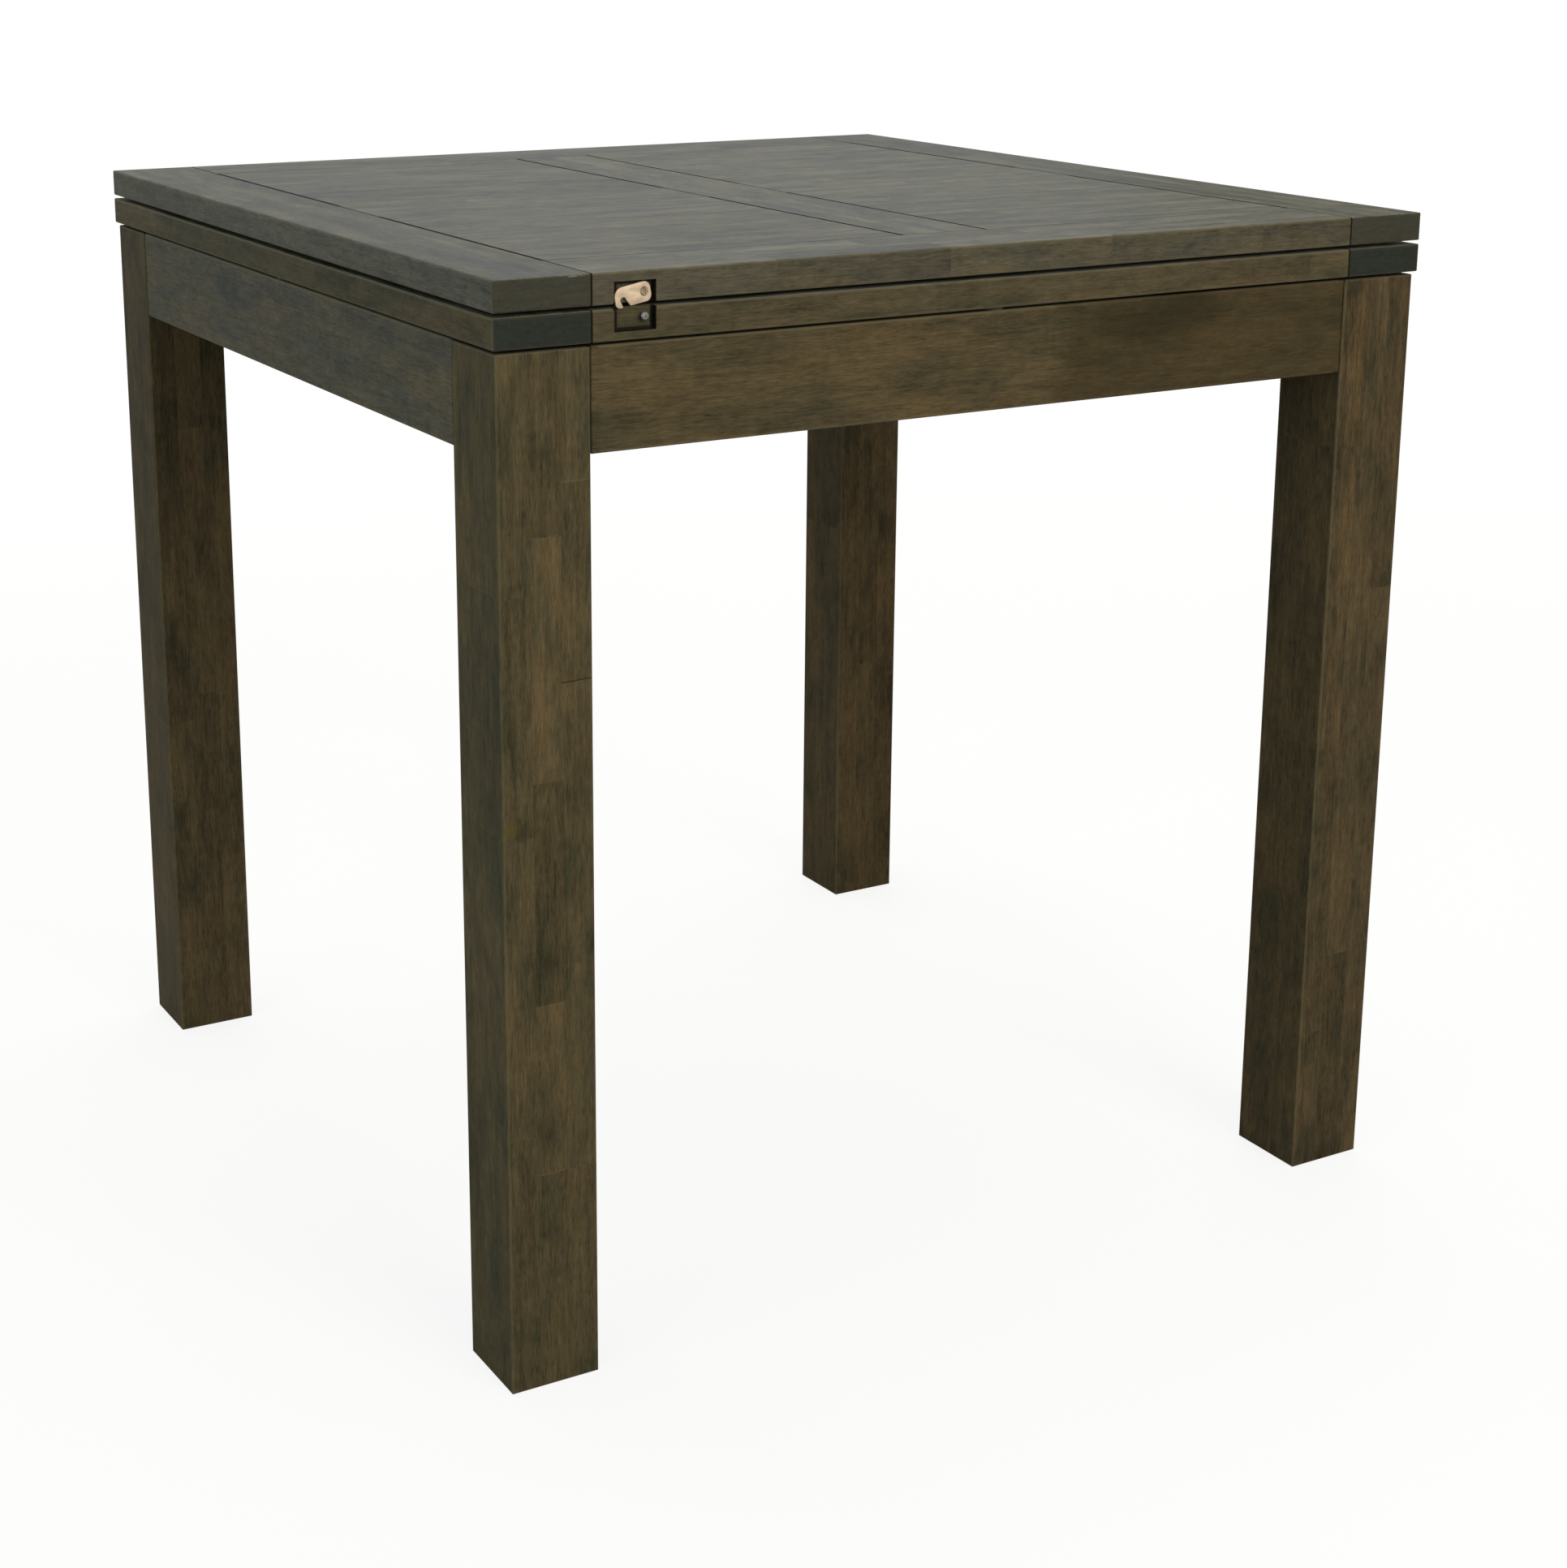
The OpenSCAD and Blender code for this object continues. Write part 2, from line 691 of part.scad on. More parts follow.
// the lower plates carry the knuckles at both ends and in the middle
module hinge_plate(picks, bore_r) {
  for (y = hinge_ys) translate([0, y, 0]) difference() {
    union() {
      block([half - hinge_w, -hinge_l / 2, lower_top - hinge_t], [half, hinge_l / 2, lower_top]);
      for (i = picks) knuckle(i);
    }
    translate([flip_x, -hinge_l / 2 - eps, flip_z])
      rotate([-90, 0, 0]) cylinder(h = hinge_l + 2 * eps, r = bore_r);
  }
}

module hinge_plates_lower() color(steel) difference() {
  hinge_plate([0, 2, 4], pin_r);
  at_lower_hinges() wood_screw(hinge_t);
}

module hinge_plates_upper() color(steel) difference() {
  translate([0, 0, flip_z]) mirror([0, 0, 1]) translate([0, 0, -flip_z])
    hinge_plate([1, 3], pin_r + pin_clear);
  at_upper_hinges() wood_screw(hinge_t);
}

module hinge_pins() color(steel) for (y = hinge_ys)
  translate([flip_x, y - hinge_l / 2 + knuckle_clear / 2, flip_z])
    rotate([-90, 0, 0]) cylinder(h = hinge_l - knuckle_clear, r = pin_r);

// Latch

module latch_recess() {
  block([recess_x0, -half - eps, lower_top - recess_low],
        [recess_x1, recess_y, table_h - recess_cover]);
}

// a turned part that points to the rear from the recess, its axis along Y
module latch_turned(z) {
  translate([hook_x, recess_y, z]) rotate([-90, 0, 0]) children();
}

module catch_stud() color(steel) latch_turned(catch_z) {
  back = recess_y - catch_back;
  difference() {
    rotate_extrude() polygon([
      [0, latch_screw_in], [catch_r, latch_screw_in], [catch_r, -back], [catch_head_r, -back],
      [catch_head_r, -back - catch_head_t * 0.6], [catch_head_r * 0.8, -back - catch_head_t],
      [0, -back - catch_head_t]
    ]);
    translate([0, 0, -back - catch_head_t - eps]) cross_cut(catch_head_r, eps + catch_head_t * 0.4);
  }
}

module hook_screw() color(zinc) latch_turned(hook_z) {
  back = recess_y - hook_front + hook_play;
  difference() {
    rotate_extrude() polygon([
      [0, latch_screw_in], [hook_screw_r, latch_screw_in], [hook_screw_r, -back],
      [hook_head_r, -back], [hook_head_r * 0.75, -back - hook_head_t], [0, -back - hook_head_t]
    ]);
    translate([0, 0, -back - hook_head_t - eps])
      cross_cut(hook_head_r * 1.15, eps + hook_head_t * 0.6);
  }
}

module hook_washer() color(steel) latch_turned(hook_z) translate([0, 0, -hook_washer_t])
  difference() {
    cylinder(h = hook_washer_t, r = hook_washer_r);
    translate([0, 0, -eps]) cylinder(h = hook_washer_t + 2 * eps, r = hook_screw_r);
  }

// the plate seen from the front, level, with its pivot at the origin
module hook_outline() {
  end_x = -catch_pitch * cos(slot_angle);
  end_z = -catch_pitch * sin(slot_angle);
  mouth_x = -sqrt(catch_pitch * catch_pitch - hook_low * hook_low);
  difference() {
    arc_rect(-hook_l, hook_r, -hook_low, hook_high,
             [hook_tip_low_r, hook_heel_low_r, hook_heel_high_r, hook_tip_high_r]);
    translate([end_x, end_z]) circle(slot_w / 2);
    polygon([
      [end_x - slot_w / 2, end_z], [end_x + slot_w / 2, end_z],
      [mouth_x + slot_w * 0.9, -hook_low - eps], [mouth_x - slot_w * 0.48, -hook_low - eps]
    ]);
    circle(hook_screw_r + hook_clear);
  }
}

module latch_hook() color(zinc)
  translate([hook_x, hook_back, hook_z]) rotate([90, 0, 0]) linear_extrude(hook_t)
    rotate(hook_tilt) hook_outline();

leg_front_left();
leg_front_right();
leg_rear_left();
leg_rear_right();
apron_front();
apron_rear();
apron_left();
apron_right();
apron_dowels();
corner_blocks();
hanger_bolts();
hanger_washers();
hanger_nuts();
swivel_rail();
rail_cleats();
cleat_screws();
pivot_sleeve();
stop_pin();
felt_glides();
lower_breadboard_left();
lower_breadboard_right();
lower_rail_front();
lower_rail_rear();
lower_stile();
lower_mid_rail_left();
lower_mid_rail_right();
lower_panel_front_left();
lower_panel_front_right();
lower_panel_rear_left();
lower_panel_rear_right();
pivot_plate();
pivot_plate_screws();
pivot_washer();
pivot_lock_nut();
felt_dots();
hinge_plates_lower();
hinge_pins();
hinge_screws_lower();
catch_stud();
upper_breadboard_left();
upper_breadboard_right();
upper_rail_front();
upper_rail_rear();
upper_stile();
upper_mid_rail_left();
upper_mid_rail_right();
upper_panel_front_left();
upper_panel_front_right();
upper_panel_rear_left();
upper_panel_rear_right();
hinge_plates_upper();
hinge_screws_upper();
hook_washer();
hook_screw();
latch_hook();
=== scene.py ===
import math
import bpy
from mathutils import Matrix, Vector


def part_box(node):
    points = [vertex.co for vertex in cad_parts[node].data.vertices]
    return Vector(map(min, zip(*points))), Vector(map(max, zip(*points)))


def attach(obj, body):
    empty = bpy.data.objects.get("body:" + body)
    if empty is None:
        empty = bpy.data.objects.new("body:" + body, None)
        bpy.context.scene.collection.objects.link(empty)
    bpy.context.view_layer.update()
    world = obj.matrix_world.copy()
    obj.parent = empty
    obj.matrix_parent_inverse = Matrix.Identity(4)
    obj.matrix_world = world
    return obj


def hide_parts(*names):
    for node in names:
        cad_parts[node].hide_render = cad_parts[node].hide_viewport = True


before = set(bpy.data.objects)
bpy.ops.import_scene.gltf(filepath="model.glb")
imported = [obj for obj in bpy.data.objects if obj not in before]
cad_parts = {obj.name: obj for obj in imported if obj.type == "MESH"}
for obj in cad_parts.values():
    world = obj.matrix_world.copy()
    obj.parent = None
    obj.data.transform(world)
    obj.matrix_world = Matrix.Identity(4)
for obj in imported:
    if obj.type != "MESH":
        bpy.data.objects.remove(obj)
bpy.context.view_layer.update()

print("frame loaded:", len(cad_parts), "nodes")


# Colours are written as they look on a screen, 0 to 255
def paint(red, green, blue):
    shares = [shown / 255 for shown in (red, green, blue)]
    linear = [s / 12.92 if s <= 0.04045 else ((s + 0.055) / 1.055) ** 2.4 for s in shares]
    return (linear[0], linear[1], linear[2], 1.0)


# Camera and light

cameraSettings = {
    "place": (-1.258, -2.202, 1.171),
    "turn": (75.903, -0.122, -29.373),
    "lens": 61.56,
    "shift": (0.0485, -0.1386),
    "sees": 100,
}

camera = bpy.data.objects.new("camera", bpy.data.cameras.new("camera"))
bpy.context.collection.objects.link(camera)
camera.location = cameraSettings["place"]
camera.rotation_euler = [math.radians(a) for a in cameraSettings["turn"]]
camera.data.lens = cameraSettings["lens"]
camera.data.shift_x, camera.data.shift_y = cameraSettings["shift"]
camera.data.clip_end = cameraSettings["sees"]
bpy.context.scene.camera = camera
bpy.context.scene.view_settings.view_transform = "Standard"

# each lamp is a soft box: where it hangs, what it points at, its size in metres and its power in watts
lamps = {
    "overhead": {"place": (0.6, 1.2, 3.4), "aim": (0, 0, 0.9), "size": (3.2, 2.4),
                 "power": 42, "tint": (1.0, 0.99, 0.95)},
    "behind": {"place": (1.6, 5.0, 2.4), "aim": (0, 0, 0.9), "size": (5.0, 2.4),
               "power": 22, "tint": (0.6, 0.72, 1.0)},
    "front": {"place": (0.5, -4.4, 2.3), "aim": (0, 0, 0.5), "size": (2.6, 2.6),
              "power": 102, "tint": (1.0, 0.95, 0.92)},
    "left": {"place": (-4.3, -1.5, 1.7), "aim": (0, 0, 0.5), "size": (2.6, 2.6),
             "power": 40, "tint": (0.8, 0.96, 1.0)},
    "window": {"place": (-2.9, 4.4, 1.5), "aim": (-0.4, 0, 0.8), "size": (2.4, 1.6),
               "power": 22, "tint": (0.6, 0.8, 1.0)},
}


def hangLamp(name, lamp):
    data = bpy.data.lights.new(name, "AREA")
    data.shape = "RECTANGLE"
    data.size, data.size_y = lamp["size"]
    data.energy = lamp["power"]
    data.color = lamp["tint"]
    made = bpy.data.objects.new(name, data)
    bpy.context.collection.objects.link(made)
    made.location = lamp["place"]
    away = made.location.copy()
    for axis in range(3):
        away[axis] -= lamp["aim"][axis]
    made.rotation_euler = away.to_track_quat("Z", "Y").to_euler()


for name, lamp in lamps.items():
    hangLamp(name, lamp)
print("camera and lamps placed")


# Shader maths: a value that adds its own Math nodes

class Value:
    def __init__(self, finish, socket):
        self.finish = finish
        self.socket = socket

    def maths(self, operation, *values):
        return self.finish.node("ShaderNodeMath", {"operation": operation}, dict(enumerate(values)))

    def __add__(self, other):
        return self.maths("ADD", self, other)

    def __radd__(self, other):
        return self.maths("ADD", other, self)

    def __sub__(self, other):
        return self.maths("SUBTRACT", self, other)

    def __rsub__(self, other):
        return self.maths("SUBTRACT", other, self)

    def __mul__(self, other):
        return self.maths("MULTIPLY", self, other)

    def __rmul__(self, other):
        return self.maths("MULTIPLY", other, self)

    def __truediv__(self, other):
        return self.maths("DIVIDE", self, other)

    def __gt__(self, other):
        return self.maths("GREATER_THAN", self, other)

    def __lt__(self, other):
        return self.maths("LESS_THAN", self, other)

    def __abs__(self):
        return self.maths("ABSOLUTE", self)

    def root(self):
        return self.maths("SQRT", self)

    def floor(self):
        return self.maths("FLOOR", self)

    def fract(self):
        return self.maths("FRACT", self)

    def least(self, other):
        return self.maths("MINIMUM", self, other)

    def most(self, other):
        return self.maths("MAXIMUM", self, other)

    def step(self, low, high):
        # 0 below low, 1 above high, smooth between them; low may be the larger one
        return self.finish.node("ShaderNodeMapRange", {"interpolation_type": "SMOOTHSTEP"},
                                {"Value": self, "From Min": low, "From Max": high})


# The nodes of a material or of the world
class Finish:
    def __init__(self, owner):
        self.owner = owner
        owner.use_nodes = True
        self.tree = owner.node_tree
        self.tree.nodes.clear()

    def node(self, kind, settings=None, inputs=None, output=0):
        made = self.tree.nodes.new(kind)
        for key, value in (settings or {}).items():
            setattr(made, key, value)
        for key, value in (inputs or {}).items():
            if isinstance(value, Value):
                self.tree.links.new(value.socket, made.inputs[key])
            else:
                made.inputs[key].default_value = value
        return Value(self, made.outputs[output]) if made.outputs else None

    def place(self):
        return self.split(self.node("ShaderNodeTexCoord", output="Object"))

    def facing(self):
        return self.split(self.node("ShaderNodeTexCoord", output="Normal"))

    def split(self, vector):
        first = self.node("ShaderNodeSeparateXYZ", inputs={0: vector})
        return [Value(self, socket) for socket in first.socket.node.outputs]

    def join(self, x, y, z):
        return self.node("ShaderNodeCombineXYZ", inputs={0: x, 1: y, 2: z})

    def mix(self, factor, first, second):
        return self.node("ShaderNodeMix", {"data_type": "RGBA"}, {0: factor, 6: first, 7: second}, output=2)

    def dim(self, colour, value):
        return self.node("ShaderNodeVectorMath", {"operation": "SCALE"}, {0: colour, "Scale": value})

    def noise(self, place, waves, detail=2.0, roughness=0.5, distortion=0.0, start=(0, 0, 0)):
        # waves to the metre along each of the three ways, and where the pattern starts on each
        parts = []
        for at, scale, begin in zip(place, waves, start):
            part = at * scale
            parts.append(part + begin if isinstance(begin, Value) or begin else part)
        return self.node("ShaderNodeTexNoise", inputs={
            "Vector": self.join(*parts), "Scale": 1.0, "Detail": detail,
            "Roughness": roughness, "Distortion": distortion})

    def chance(self, x, y, z):
        return self.node("ShaderNodeTexWhiteNoise", inputs={"Vector": self.join(x, y, z)})

    def surface(self, values, bump=None, strength=1.0, depth=0.0002):
        if bump is not None:
            values["Normal"] = self.node("ShaderNodeBump", inputs={
                "Strength": strength, "Distance": depth, "Height": bump})
        shader = self.node("ShaderNodeBsdfPrincipled", inputs=values)
        self.node("ShaderNodeOutputMaterial", inputs={"Surface": shader})
        return self.owner


def newFinish(name):
    return Finish(bpy.data.materials.new(name))


def dress(node, material):
    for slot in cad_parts[node].material_slots:
        slot.material = material


# Floor: it shows as white, with the table's shadow left in it

# the camera sees the lit floor dimmed to the kept share, and white added to that, more of it far out;
# between the two distances of fade, in metres, farWhite comes in
floorSettings = {"size": 60, "drop": 0.0003, "bare": paint(160, 160, 158), "kept": 0.5, "white": 0.855,
                 "farWhite": 0.09, "fade": (1.3, 5.0), "mirrored": 0.1}

finish = newFinish("floor")
seen = finish.node("ShaderNodeLightPath", output="Is Camera Ray")
glossy = finish.node("ShaderNodeLightPath", output="Is Glossy Ray")
shade = finish.dim(floorSettings["bare"][:3], 1 - seen * (1 - floorSettings["kept"]))
pale = finish.node("ShaderNodeBsdfDiffuse", inputs={"Color": shade})
x, y, z = finish.place()
far = (x * x + y * y).root().step(*floorSettings["fade"]) * floorSettings["farWhite"]
glow = seen * (floorSettings["white"] + far) + glossy * floorSettings["mirrored"]
white = finish.node("ShaderNodeEmission", inputs={"Color": finish.dim((1, 1, 1), glow)})
shown = finish.node("ShaderNodeAddShader", inputs={0: pale, 1: white})
finish.node("ShaderNodeOutputMaterial", inputs={"Surface": shown})

bpy.ops.object.select_all(action="DESELECT")
bpy.ops.mesh.primitive_plane_add(size=floorSettings["size"], location=(0, 0, -floorSettings["drop"]))
floor = bpy.context.object
floor.name = "floor"
floor.data.materials.append(finish.owner)

# the world fills the shadows, and shows as white behind the floor
worldSettings = {"fill": (1.0, 0.99, 0.86, 1), "strength": 0.38, "shown": (1, 1, 1, 1)}

studio = Finish(bpy.data.worlds.new("studio"))
seen = studio.node("ShaderNodeLightPath", output="Is Camera Ray")
fill = studio.node("ShaderNodeBackground", inputs={"Color": worldSettings["fill"],
                                                   "Strength": worldSettings["strength"]})
blank = studio.node("ShaderNodeBackground", inputs={"Color": worldSettings["shown"]})
shown = studio.node("ShaderNodeMixShader", inputs={0: seen, 1: fill, 2: blank})
studio.node("ShaderNodeOutputWorld", inputs={"Surface": shown})
bpy.context.scene.world = studio.owner
print("floor and backdrop made")


# Stained wood. Each board has its own grain direction, staves, blocks and seed, so no two look alike

# dark, middle and warm mix in clouds, end is end grain, line a joint between boards and also the painted
# shade in the latch's pocket and by the aprons' ends; the pale arris colour is partly real rubbing, partly
# a painted highlight
stain = {
    "dark": paint(60, 60, 44),
    "middle": paint(83, 74, 52),
    "warm": paint(101, 84, 57),
    "end": paint(66, 65, 55),
    "line": paint(20, 19, 14),
    "worn": paint(116, 108, 82),
    "wear": 0.3,
    "roughness": 0.46,
}


def restained(look, dark, middle, warm, **changes):
    return dict(look, dark=paint(*dark), middle=paint(*middle), warm=paint(*warm), **changes)


# the other legs are a little redder than the near one, and the rear right one is darker still: painted
# shade, for the less light that reaches it
redStain = restained(stain, (60, 57, 42), (83, 71, 50), (101, 84, 57))
rearLegStainAndShade = restained(stain, (55, 51, 37), (79, 67, 46), (98, 79, 53))
apronStain = restained(stain, (66, 62, 46), (83, 74, 52), (101, 84, 57), wear=0.6)
# painted sheen: the side aprons are greyer than the front and rear ones
sideApronStainAndSheen = restained(stain, (73, 74, 69), (93, 88, 75), (100, 88, 65), wear=0.6)

# the leaves: the lower one's edges, the upper one's, the sides of its end boards, the tops of both, and
# the tops of the end boards. The stain is the same throughout; the tops are greyer and paler with painted
# sheen
leafStain = dict(stain, wear=0.4)
lowStain = restained(leafStain, (60, 60, 44), (83, 75, 55), (101, 85, 61), end=paint(48, 51, 46))
# painted sheen: the upper leaf's edges and its end boards' sides are greyer and paler than the stain
upperEdgeStainAndSheen = restained(leafStain, (68, 70, 62), (87, 82, 67), (100, 88, 65))
endSideStainAndSheen = restained(leafStain, (76, 77, 71), (96, 93, 83), (105, 100, 85), wear=0.15)
topStainAndSheen = restained(leafStain, (84, 86, 77), (108, 107, 97), (118, 113, 101), worn=paint(132, 130, 116))
boardTopStainAndSheen = restained(topStainAndSheen, (76, 78, 69), (99, 98, 88), (110, 107, 95), wear=0.15)

# noise in the wood, each as waves to the metre along and across the grain, detail, roughness, distortion:
# clouds of stain, a warm blush, streaks, soft patches, flecks, fibres and pores, and sweeps on the tops.
# Any other noise is written as its waves to the metre each way, then detail, roughness and distortion
woodLayers = {
    "cloud": (15, 42, 4, 0.6, 0.4),
    "blush": (7, 24, 3, 0.6, 0),
    "streak": (9, 240, 3, 0.65, 0),
    "patch": (38, 95, 2, 0.6, 0.5),
    "fleck": (62, 520, 3, 0.7, 0),
    "fibre": (130, 1300, 1, 0.5, 0),
    "pore": (80, 1500, 1, 0.5, 0),
    "sweep": (3.4, 58, 4, 0.62, 0.2),
}

# how far each of them, and the ripple across the grain, lightens and darkens the wood
woodContrast = {"streak": 0.8, "fleck": 1.25, "patch": 0.65, "blush": 0.25, "fibre": 0.75, "ripple": 0.16}

woodSettings = {
    # what a board's seed, a block's tone and a stave's number slide the noise by
    "seedStep": 3.17, "toneStep": 3.0, "staveStep": 1.7, "blushStep": 9,
    # levels of noise between which dark turns middle, and warm comes in, least and by the block's tint
    "middle": (0.24, 0.6), "warm": (0.4, 0.72), "leastWarm": 0.2, "tintWarm": 0.6,
    # how square on a face is before it counts as a top or an end
    "square": (0.6, 0.8),
    # levels between which a pore shows, and how dark it is; the ripple across the grain
    "pore": (0.63, 0.73), "poreDark": 0.2, "ripple": ((230, 26, 26), 1),
    # tops have stronger streaks, and sweeps with them
    "topStreak": 0.6, "topSweep": 2.6,
    # legs are greener near the floor: the heights between which the tint grows, its least and its growth
    "legTint": (0.1, 0.7), "legLeast": 0.3, "legGrowth": 0.8,
    # end grain: rings, grit and its own darkness
    "ring": ((30, 34, 150), 3, 0.5, 1.8), "grit": ((30, 520, 520), 3, 0.7),
    "ringShare": 0.62, "gritShare": 0.6, "endLevel": 0.42,
    # arrises, pale from rubbing and a painted highlight: how ragged, how far in from the edge, and how much
    # of it end grain keeps off
    "ragged": 0.0012, "wearIn": 0.0003, "wearWidth": (0.0024, 0.0004), "endArrisOff": 0.7,
    "specular": 0.05, "bump": 0.35, "bumpDepth": 0.0004, "jointAndShadeDark": 0.94,
}
# how each layer stands up from the surface, and how much duller it makes it
woodRelief = {"streak": 0.5, "fleck": 0.7, "pore": 0.6, "joint": 4.0}
woodDull = {"cloud": 0.14, "fleck": 0.22, "streak": 0.15, "end": 0.2, "joint": 0.5}

axes = {"x": 0, "y": 1, "z": 2}


# a layer's noise, at a place that is given as along the grain and the two ways across it
def grainNoise(finish, ways, layer, start=0):
    along, side, detail, roughness, distortion = layer
    return finish.noise(ways, (along, side, side), detail, roughness, distortion, (start, 0, 0))


# Edges: how far a point is from the nearest outer edge, and a mask of the dark lines where boards meet,
# which on the aprons is painted shade by the legs. All three are called alike, with the clouds of the
# stain, which only the leaves' lines use

def middleOf(a, b, c):
    return a.least(b).most(a.most(b).least(c))


def gapsTo(place, low, high):
    return [(at - start).least(end - at) for at, start, end in zip(place, low, high)]


# where the boards of a leaf meet, from its middle out, how wide the lines are there, how far cloud changes
# that, and how much wider they are along the grooves by the end boards and by the stile
leafPlan = {"half": 0.450, "breadboard": 0.369, "rail": 0.368, "stile": 0.041, "midRail": 0.045,
            "line": 0.0006, "leastLine": 0.6, "cloudLine": 0.8, "soft": (1.9, 0.7),
            "boardGroove": 1.8, "stileGroove": 1.5, "railShare": 0.6}


def leafEdges(place, low, high, cloud):
    plan = leafPlan
    x, y = abs(place[0]), abs(place[1])
    edge = middleOf(plan["half"] - x, plan["half"] - y, (place[2] - low[2]).least(high[2] - place[2]))
    width = plan["line"] * (plan["leastLine"] + cloud * plan["cloudLine"])

    def line(distance, wide=1.0):
        outer, inner = plan["soft"]
        return abs(distance).step(width * (outer * wide), width * (inner * wide))

    byBoard, byStile, byRail = x - plan["breadboard"], x - plan["stile"], y - plan["rail"]
    betweenRails = y < plan["rail"]
    grooved = (y > plan["midRail"]) * betweenRails
    joint = line(byBoard).most(line(byBoard, plan["boardGroove"]) * grooved)
    joint = joint.most(line(byStile) * betweenRails).most(line(byStile, plan["stileGroove"]) * grooved)
    joint = joint.most(line(byRail) * (x < plan["breadboard"]) * plan["railShare"])
    return edge, joint


def legEdges(place, low, high, cloud):
    return middleOf(*gapsTo(place, low, high)), None


# an apron has painted shade where its ends run into the legs, and its arrises are not made pale there
apronEnds = {"dark": (0.0024, 0.0006), "share": 0.4, "unworn": (0.008, 0.002), "away": 0.01}


def apronEdges(place, low, high, cloud):
    gaps = gapsTo(place, low, high)
    toLeg = gaps[0] if high[0] - low[0] > high[1] - low[1] else gaps[1]
    edge = middleOf(*gaps) + toLeg.step(*apronEnds["unworn"]) * apronEnds["away"]
    return edge, toLeg.step(*apronEnds["dark"]) * apronEnds["share"]


# Marks: masks, each with the colour it lays on. The latch's pocket has painted shade along its walls

pocket = {"left": -0.3505, "right": -0.315, "low": 0.8548, "high": 0.8925, "front": -0.4499,
          "back": -0.4437, "band": (0.0032, 0.0016), "leftIn": 0.0032, "topIn": 0.0006,
          "beyond": 0.0006, "share": 0.9}


def pocketShade(finish, place):
    x, y, z = place
    left, under = x - pocket["left"], pocket["high"] - z
    others = (pocket["right"] - x).least(z - pocket["low"])
    wall = others.least(left - pocket["leftIn"]).least(under - pocket["topIn"])
    within = others.least(left).least(under) > -pocket["beyond"]
    inside = within * (y > pocket["front"]) * (y < pocket["back"])
    # painted shade along the pocket's walls, in the joints' line colour
    return [(inside * wall.step(*pocket["band"]) * pocket["share"], stain["line"])]


# a pale scuff where the near end board meets the front rail
scuff = {"from": -0.393, "to": -0.370, "front": -0.4452, "height": 0.8985, "ragged": 0.007,
         "soft": 0.002, "share": 0.4, "noise": ((160, 900, 1), 2), "colour": paint(176, 174, 162)}


def scuffMarks(finish, place):
    x, y, z = place
    broken = finish.noise(place, *scuff["noise"])
    inside = (x > scuff["from"]) * (x < scuff["to"]) * (z > scuff["height"])
    paleEdge = (y + broken * scuff["ragged"]).step(scuff["front"], scuff["front"] - scuff["soft"])
    return [(paleEdge * inside * scuff["share"], scuff["colour"])]


# an oval's place, squared and in its own sizes: 0 in its middle and 1 at its rim
def fromOval(oval, across, along):
    across = (across - oval["place"][0]) / oval["size"][0]
    along = (along - oval["place"][1]) / oval["size"][1]
    return across * across + along * along


# The near leg has a small two-coloured knot, a hairline and pale glue lines where its blocks end.
# Places are metres from the leg's left edge and heights from the floor

nearLeg = {
    "frontDepth": 0.004,
    "wobble": ((90, 90, 20), 2), "ragged": ((420, 420, 130), 3, 0.6),
    "knots": [{"place": (0.0165, 0.477), "size": (0.0075, 0.010), "colour": paint(48, 50, 36)},
              {"place": (0.0072, 0.480), "size": (0.0058, 0.0075), "colour": paint(94, 82, 40)}],
    "knotWobble": 1.6, "knotRagged": 2.6, "knotRim": (1.5, 0.1), "knotShare": 0.5,
    "hairline": {"height": 0.590, "from": 0.0505, "wobble": 0.003, "width": (0.0008, 0.0002), "share": 0.7},
    "glue": {"places": [(0.0642, 0.745), (0.0375, 0.704), (0.0375, 0.186)], "half": 0.0115,
             "bow": 0.0008, "wobble": 0.002, "width": (0.001, 0.0002), "share": 0.25},
}


def nearLegMarks(finish, place):
    x, y, z = place
    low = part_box("leg_front_left")[0]
    left = x - low[0]
    front = y < low[1] + nearLeg["frontDepth"]
    wobble = finish.noise(place, *nearLeg["wobble"]) - 0.5
    ragged = finish.noise(place, *nearLeg["ragged"]) - 0.5
    marks = []
    for knot in nearLeg["knots"]:
        away = fromOval(knot, left, z) + wobble * nearLeg["knotWobble"] + ragged * nearLeg["knotRagged"]
        marks.append((away.step(*nearLeg["knotRim"]) * front * nearLeg["knotShare"], knot["colour"]))
    hair = nearLeg["hairline"]
    hairline = abs(z - hair["height"] + wobble * hair["wobble"]).step(*hair["width"])
    marks.append((hairline * (left > hair["from"]) * hair["share"], stain["line"]))
    glue = nearLeg["glue"]
    for middle, height in glue["places"]:
        bow = (left - middle) / glue["half"]
        line = abs(z - height - bow * bow * glue["bow"] + wobble * glue["wobble"]).step(*glue["width"])
        marks.append((line * (bow * bow < 1) * front * glue["share"], stain["worn"]))
    return marks


# The front apron took more stain over its right half, and has one dark patch there
frontApron = {
    "noise": ((16, 16, 38), 3, 0.6), "start": (0, 0, 4),
    "half": {"from": 0.045, "full": 0.1, "ragged": 0.16, "share": 0.48, "colour": paint(58, 48, 28)},
    "patch": {"place": (0.17, 0.829), "size": (0.060, 0.024), "ragged": 4.0, "rim": (1.8, 0.1),
              "share": 0.42, "colour": paint(38, 36, 25)},
}


def frontApronMarks(finish, place):
    x, y, z = place
    blotch = finish.noise(place, *frontApron["noise"], start=frontApron["start"]) - 0.5
    half, patch = frontApron["half"], frontApron["patch"]
    halfMask = (x + blotch * half["ragged"]).step(half["from"], half["full"]) * half["share"]
    away = fromOval(patch, x, z) + blotch * patch["ragged"]
    return [(halfMask, half["colour"]), (away.step(*patch["rim"]) * patch["share"], patch["colour"])]


